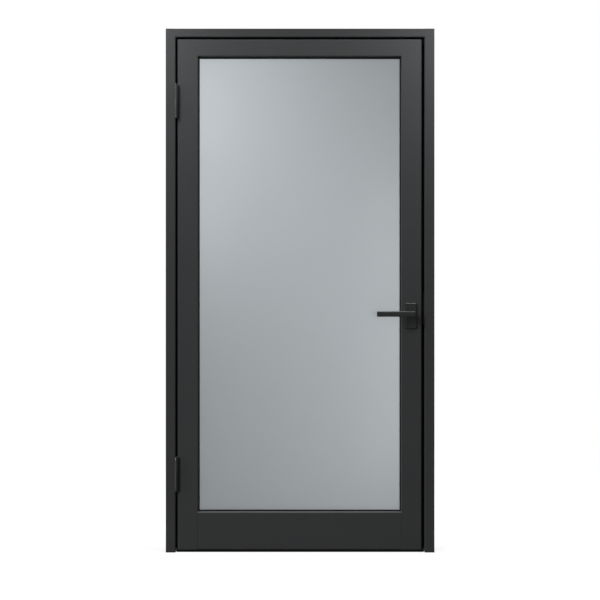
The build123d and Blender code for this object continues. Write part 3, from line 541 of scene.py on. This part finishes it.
class Fixing:
    """Where one round fixing sits and how large it is, read from the points of its solid."""

    def __init__(self, points):
        low = Vector([min(p[i] for p in points) for i in range(3)])
        high = Vector([max(p[i] for p in points) for i in range(3)])
        size = high - low
        middle = (low + high) / 2
        # A round solid is as wide as it is high across its axis
        along = min(range(3), key=lambda i: abs(size[(i + 1) % 3] - size[(i + 2) % 3]))

        def end_rank(end):
            """The radius of an end and its number of points: the head is wider, or has a socket in it."""
            face = [p - middle for p in points if abs(p[along] - end) < SAME_POINT]
            for p in face:
                p[along] = 0
            return round(max(p.length for p in face), RADIUS_DECIMALS), len(face)

        head = max((low[along], high[along]), key=end_rank)
        tip = low[along] + high[along] - head
        self.place = middle.copy()
        self.place[along] = head
        self.axis = Vector((0, 0, 0))
        self.axis[along] = 1 if head > tip else -1
        self.length = size[along]
        self.head_radius = end_rank(head)[0]
        self.shank_radius = end_rank(tip)[0]


def socket_reach(radius, turn):
    """How far a socket with straight sides reaches at an angle."""
    corner = 2 * pi / SOCKET_SIDES
    return radius * cos(corner / 2) / cos(turn % corner - corner / 2)


def screw_rings(fixing, sizes):
    """Angles round a screw whose head faces up, and its rings of radius and height from socket to tip."""
    sides = SOCKET_SIDES * sizes.facets
    turns = [2 * pi * i / sides for i in range(sides)]
    pitch = 2 * fixing.shank_radius * sizes.pitch_share
    depth = pitch * sizes.depth_share
    head_height = fixing.head_radius - fixing.shank_radius
    socket = [socket_reach(sizes.socket_radius, turn) for turn in turns]
    rings = [
        [(reach, -sizes.socket_depth) for reach in socket],
        [(reach, 0) for reach in socket],
        [(fixing.head_radius, 0)] * sides,
    ]
    if head_height > SAME_POINT:
        rings.append([(fixing.shank_radius, -head_height)] * sides)
    threaded = fixing.length - head_height - 2 * depth
    count = ceil(STEPS_PER_THREAD * threaded / pitch)
    for step in range(1, count + 1):
        down = threaded * step / count
        fade = min(1, down / pitch)
        ring = []
        for turn in turns:
            phase = (down / pitch + turn / (2 * pi)) % 1
            groove = 1 - abs(2 * phase - 1)
            ring.append((fixing.shank_radius - fade * depth * groove, -head_height - down))
        rings.append(ring)
    rings.append([(fixing.shank_radius - 2 * depth, -fixing.length)] * sides)
    return turns, rings


def screw_mesh(fixing, sizes):
    """One threaded screw along Z with its head's face at the origin."""
    turns, rings = screw_rings(fixing, sizes)
    sides = len(turns)
    points = []
    for ring in rings:
        points += [(reach * cos(t), reach * sin(t), height) for t, (reach, height) in zip(turns, ring)]
    faces = []
    for row in range(len(rings) - 1):
        upper = row * sides
        lower = upper + sides
        for i in range(sides):
            after = (i + 1) % sides
            faces.append((upper + i, lower + i, lower + after, upper + after))
    last = (len(rings) - 1) * sides
    faces.append(tuple(range(sides)))
    faces.append(tuple(last + i for i in reversed(range(sides))))
    mesh = bpy.data.meshes.new("screw")
    mesh.from_pydata(points, [], faces)
    return mesh


def placed_copies():
    """A tree that sets one shape on every point, turned to the point's axis."""
    if "Placed copies" in bpy.data.node_groups:
        return bpy.data.node_groups["Placed copies"]
    tree, given, result = new_group(
        "Placed copies",
        "GeometryNodeTree",
        {"Points": "NodeSocketGeometry", "Shape": "NodeSocketObject", "Finish": "NodeSocketMaterial"},
        {"Geometry": "NodeSocketGeometry"},
    )
    shape = add_node(tree, "GeometryNodeObjectInfo", None, {"Object": given.outputs["Shape"]})
    axis = add_node(
        tree, "GeometryNodeInputNamedAttribute", {"data_type": "FLOAT_VECTOR"}, {"Name": AXIS_NAME}
    )
    turn = add_node(
        tree, "FunctionNodeAlignRotationToVector", {"axis": "Z"}, {"Vector": axis.outputs["Attribute"]}
    )
    copies = add_node(
        tree,
        "GeometryNodeInstanceOnPoints",
        None,
        {
            "Points": given.outputs["Points"],
            "Instance": shape.outputs["Geometry"],
            "Rotation": turn.outputs["Rotation"],
        },
    )
    finish_tree(tree, copies.outputs["Instances"], given.outputs["Finish"], result)
    return tree


class DOOR_OT_fixings(Operator):
    """Cut threads and key sockets on the screws and bolts"""

    bl_idname = "glass_door.fixings"
    bl_label = "Thread the fixings"

    def execute(self, context):
        sizes = context.scene.door_fixings
        for node in FIXING_NODES:
            fixings = [Fixing(points) for points in islands(node)]
            shape = bpy.data.objects.new("screw", screw_mesh(fixings[0], sizes))
            context.scene.collection.objects.link(shape)
            points = bpy.data.meshes.new("points")
            points.from_pydata([fixing.place for fixing in fixings], [], [])
            axis = points.attributes.new(AXIS_NAME, "FLOAT_VECTOR", "POINT")
            for row, fixing in zip(axis.data, fixings):
                row.vector = fixing.axis
            values = {"Shape": shape, "Finish": frame["nodes"][node].data.materials[0]}
            grow(context, f"threaded_{node}", points, placed_copies(), values, node)
            bpy.data.meshes.remove(shape.data)
        return {"FINISHED"}


# Coil springs


def wound_wire():
    """A tree that winds round wire along X from a start point."""
    if "Wound wire" in bpy.data.node_groups:
        return bpy.data.node_groups["Wound wire"]
    tree, given, result = new_group(
        "Wound wire",
        "GeometryNodeTree",
        {
            "Start": "NodeSocketVector",
            "Length": "NodeSocketFloat",
            "Coil radius": "NodeSocketFloat",
            "Wire radius": "NodeSocketFloat",
            "Turns": "NodeSocketFloat",
            "Finish": "NodeSocketMaterial",
        },
        {"Geometry": "NodeSocketGeometry"},
    )
    coil = add_node(
        tree,
        "GeometryNodeCurveSpiral",
        None,
        {
            "Resolution": STEPS_PER_COIL,
            "Rotations": given.outputs["Turns"],
            "Start Radius": given.outputs["Coil radius"],
            "End Radius": given.outputs["Coil radius"],
            "Height": given.outputs["Length"],
        },
    )
    section = add_node(
        tree,
        "GeometryNodeCurvePrimitiveCircle",
        None,
        {"Resolution": WIRE_SIDES, "Radius": given.outputs["Wire radius"]},
    )
    wire = add_node(
        tree,
        "GeometryNodeCurveToMesh",
        None,
        {"Curve": coil.outputs["Curve"], "Profile Curve": section.outputs["Curve"], "Fill Caps": True},
    )
    laid = add_node(
        tree,
        "GeometryNodeTransform",
        None,
        {
            "Geometry": wire.outputs["Mesh"],
            "Translation": given.outputs["Start"],
            "Rotation": (0, radians(90), 0),
        },
    )
    finish_tree(tree, laid.outputs["Geometry"], given.outputs["Finish"], result)
    return tree


class DOOR_OT_springs(Operator):
    """Wind the springs of the latch and of the lever from round wire"""

    bl_idname = "glass_door.springs"
    bl_label = "Wind the springs"

    def execute(self, context):
        sizes = context.scene.door_fixings
        wire = sizes.wire_radius
        # Node, turns, joint that presses the spring, the end that stays, and the length left at full travel
        springs = (
            ("latch_spring", sizes.latch_turns, "latch_slide", 0, sizes.latch_keep),
            ("follower_spring", sizes.follower_turns, "lever_turn", 1, sizes.follower_keep),
        )
        for node, turns, joint, fixed_end, keep in springs:
            low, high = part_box(node)
            middle = (low + high) / 2
            values = {
                "Start": (low.x + wire, middle.y, middle.z),
                "Length": high.x - low.x - 2 * wire,
                "Coil radius": (high.z - low.z) / 2 - wire,
                "Wire radius": wire,
                "Turns": turns,
                "Finish": frame["nodes"][node].data.materials[0],
            }
            start = bpy.data.meshes.new("start")
            spring = grow(context, f"wound_{node}", start, wound_wire(), values, node)
            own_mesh(spring)
        return {"FINISHED"}


# Studio


class Softbox:
    """One rectangular lamp: where it stands, where it points, its size and its brightness.

    A lamp lights all but the pane and shows in no gloss. A ledge lamp leaves out the levers and the
    fixed frame as well. A lever or rail lamp lights only the levers or the bottom rail, a card only
    shows as gloss on the hinges, and a wash lights only the pane.
    """

    def __init__(self, name, place, aim, size, radiance, kind="lamp"):
        self.name = name
        self.place = Vector(place)
        self.aim = Vector(aim)
        self.size = size
        self.radiance = radiance
        self.kind = kind


# Place, aim and size of the lamps that hang right above the door
OVERHEAD = ((0.1, -0.06, 5.0), (0.1, -0.06, 0), (1.6, 0.4))
SOFTBOXES = (
    Softbox("upper_left", (-0.85, -0.5, 2.3), (-0.5, 0, 1.7), (0.4, 0.4), 13.5),
    Softbox("upper_right", (0.85, -0.5, 2.3), (0.5, 0, 1.7), (0.4, 0.4), 15.6),
    Softbox("key_left", (-8.6, -10.2, 6.6), (0, 0, 1), (1.6, 8.0), 33.0),
    Softbox("side_left", (-6.2, -1.7, 1.5), (0, 0, 1.2), (0.6, 4.0), 16.0),
    Softbox("overhead", *OVERHEAD, 210.0, "ledge"),
    Softbox("lever_top", *OVERHEAD, 80.0, "lever"),
    Softbox("rail_top", *OVERHEAD, 90.0, "rail"),
    Softbox("back_left", (-2.5, 3.0, 2.6), (0, 0, 1.1), (1.2, 1.2), 16.0),
    Softbox("back_right", (2.5, 3.0, 2.6), (0, 0, 1.1), (1.2, 1.2), 14.0),
    Softbox("hinge_gloss", (-1.55, -1.1, 1.3), (-0.5, 0, 1.3), (0.14, 2.6), 120.0, "card"),
    Softbox("pane_high", (-0.55, -0.9, 2.0), (-0.55, 0, 2.0), (0.4, 0.4), 22.8, "wash"),
    Softbox("pane_left", (-0.55, -0.9, 1.4), (-0.55, 0, 1.4), (0.4, 0.4), 9.5, "wash"),
    Softbox("pane_right", (0.55, -0.9, 0.9), (0.55, 0, 0.9), (0.4, 1.5), 5.7, "wash"),
    Softbox("pane_low", (0.0, -0.9, 0.3), (0.0, 0, 0.3), (1.2, 0.4), 1.2, "wash"),
    Softbox("pane_back", (0.3, 1.5, 1.5), (0.0, 0, 1.1), (1.0, 1.4), 4.5, "wash"),
)


def light_group(name, pieces, state):
    """A collection that keeps a lamp to some pieces, or off them."""
    group = bpy.data.collections.new(name)
    for piece in pieces:
        group.objects.link(piece)
    for row in group.collection_objects:
        row.light_linking.link_state = state
    return group


def light_groups(scene):
    """The group of pieces for each kind of lamp."""
    pane = frame["nodes"]["glass_pane"]
    rail = frame["nodes"]["bottom_rail"]
    hinges = [frame["nodes"][name] for name in HINGE_NODES]
    levers = [frame["nodes"][name] for name in LEVER_NODES]
    fixed = [piece for piece in scene.objects if piece.get("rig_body") == "frame"]
    return {
        "lamp": light_group("all_but_pane", [pane], "EXCLUDE"),
        "ledge": light_group("leaf_ledges", [pane, *levers, *fixed], "EXCLUDE"),
        "lever": light_group("levers_only", levers, "INCLUDE"),
        "rail": light_group("bottom_rail_only", [rail], "INCLUDE"),
        "card": light_group("hinges_only", hinges, "INCLUDE"),
        "wash": light_group("pane_only", [pane], "INCLUDE"),
    }


def add_lamp(scene, box, level, group):
    """An area lamp that the camera never sees, with its light kept to a group of pieces or off it."""
    width, height = box.size
    lamp = bpy.data.lights.new(box.name, "AREA")
    lamp.shape = "RECTANGLE"
    lamp.size = width
    lamp.size_y = height
    lamp.energy = box.radiance * level * pi * width * height
    holder = bpy.data.objects.new(box.name, lamp)
    holder.location = box.place
    holder.rotation_euler = (box.aim - box.place).to_track_quat("-Z", "Y").to_euler()
    holder.visible_camera = False
    holder.visible_transmission = False
    holder.visible_diffuse = box.kind != "card"
    holder.visible_glossy = box.kind not in ("lamp", "wash")
    holder.light_linking.receiver_collection = group
    if box.kind == "wash":
        holder.light_linking.blocker_collection = group
    scene.collection.objects.link(holder)


def add_camera(scene, studio):
    """A camera that looks straight at the door's front."""
    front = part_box("hinge_stile")[0].y
    camera = bpy.data.cameras.new("front_camera")
    camera.lens = studio.lens
    camera.sensor_width = SENSOR_MM
    holder = bpy.data.objects.new("front_camera", camera)
    holder.location = (studio.camera_side, front - studio.camera_distance, studio.camera_height)
    holder.rotation_euler = (radians(90), 0, 0)
    scene.collection.objects.link(holder)
    scene.camera = holder


def seen_ray(tree):
    """1 for rays of the camera and for those that gloss or glass send on, else 0."""
    path = add_node(tree, "ShaderNodeLightPath").outputs
    first = add_math(tree, "MAXIMUM", path["Is Camera Ray"], path["Is Glossy Ray"])
    return add_math(tree, "MAXIMUM", first, path["Is Transmission Ray"])


def white_world(scene, ambient):
    """White where it is seen, and a dim even light elsewhere."""
    world = bpy.data.worlds.new("white_studio")
    world.use_nodes = True
    tree = world.node_tree
    tree.nodes.clear()
    strength = add_range(tree, seen_ray(tree), ambient, 1.0)
    background = add_node(tree, "ShaderNodeBackground", None, {"Color": WHITE, "Strength": strength})
    output = tree.nodes.new("ShaderNodeOutputWorld")
    tree.links.new(background.outputs[0], output.inputs["Surface"])
    scene.world = world


def ground_material(studio):
    """A ground that looks white, keeps a shadow near the door and throws little light up."""
    material = bpy.data.materials.new("pale_ground")
    material.use_nodes = True
    tree = material.node_tree
    tree.nodes.clear()
    bounce = [c * studio.floor_bounce for c in studio.floor_colour]
    dim = add_node(tree, "ShaderNodeBsdfDiffuse", None, {"Color": (*bounce, 1)}).outputs[0]
    pale = add_node(tree, "ShaderNodeBsdfDiffuse", None, {"Color": (*studio.floor_colour, 1)}).outputs[0]
    white = add_node(tree, "ShaderNodeEmission", None, {"Color": WHITE, "Strength": 1.0}).outputs[0]
    away = add_node(tree, "ShaderNodeVectorMath", {"operation": "LENGTH"}, {0: object_place(tree)})
    glow = add_range(
        tree, away.outputs["Value"], studio.floor_glow, 1.0, studio.floor_near, studio.floor_far
    )
    seen = add_node(tree, "ShaderNodeMixShader", None, {0: glow, 1: pale, 2: white}).outputs[0]
    both = add_node(tree, "ShaderNodeMixShader", None, {0: seen_ray(tree), 1: dim, 2: seen})
    output = tree.nodes.new("ShaderNodeOutputMaterial")
    tree.links.new(both.outputs[0], output.inputs["Surface"])
    return material


def pale_floor(scene, studio):
    """A wide flat ground under the door."""
    mesh = bpy.data.meshes.new("floor")
    corners = [(-FLOOR_HALF, -FLOOR_HALF, 0), (FLOOR_HALF, -FLOOR_HALF, 0)]
    corners += [(FLOOR_HALF, FLOOR_HALF, 0), (-FLOOR_HALF, FLOOR_HALF, 0)]
    mesh.from_pydata(corners, [], [(0, 1, 2, 3)])
    mesh.materials.append(ground_material(studio))
    floor = bpy.data.objects.new("floor", mesh)
    scene.collection.objects.link(floor)


class DOOR_OT_stage(Operator):
    """Set up the camera, the softboxes, the white surround and the floor"""

    bl_idname = "glass_door.stage"
    bl_label = "Set the studio"

    def execute(self, context):
        scene = context.scene
        studio = scene.door_studio
        add_camera(scene, studio)
        groups = light_groups(scene)
        for box in SOFTBOXES:
            add_lamp(scene, box, studio.lamp_level, groups[box.kind])
        white_world(scene, studio.ambient)
        pale_floor(scene, studio)
        scene.view_settings.view_transform = "Standard"
        return {"FINISHED"}


# Panel and registration

OPERATORS = (
    DOOR_OT_profiles,
    DOOR_OT_hardware,
    DOOR_OT_glass,
    DOOR_OT_seals,
    DOOR_OT_metal,
    DOOR_OT_fixings,
    DOOR_OT_springs,
    DOOR_OT_stage,
)
SETTINGS = {
    "door_finish": DoorFinishSettings,
    "door_fixings": DoorFixingSettings,
    "door_studio": DoorStudioSettings,
}


class DOOR_PT_looks(Panel):
    """Lists the steps that dress the door, and their settings"""

    bl_idname = "DOOR_PT_looks"
    bl_label = "Glass Door"
    bl_space_type = "VIEW_3D"
    bl_region_type = "UI"
    bl_category = "Glass Door"

    def draw(self, context):
        for step in OPERATORS:
            self.layout.operator(step.bl_idname)
        for group, settings in SETTINGS.items():
            box = self.layout.box()
            for name in settings.__annotations__:
                box.prop(getattr(context.scene, group), name)


CLASSES = (*SETTINGS.values(), *OPERATORS, DOOR_PT_looks)


def register():
    """Make the settings, steps and panel known to Blender."""
    for kind in CLASSES:
        bpy.utils.register_class(kind)
    for group, settings in SETTINGS.items():
        setattr(bpy.types.Scene, group, PointerProperty(type=settings))


def unregister():
    """Take the settings, steps and panel out of Blender."""
    for group in SETTINGS:
        delattr(bpy.types.Scene, group)
    for kind in reversed(CLASSES):
        bpy.utils.unregister_class(kind)


def main():
    """Dress the door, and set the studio."""
    register()
    bpy.ops.glass_door.profiles()
    bpy.ops.glass_door.hardware()
    bpy.ops.glass_door.glass()
    bpy.ops.glass_door.seals()
    bpy.ops.glass_door.metal()
    bpy.ops.glass_door.fixings()
    bpy.ops.glass_door.springs()
    bpy.ops.glass_door.stage()


if __name__ == "__main__":
    main()
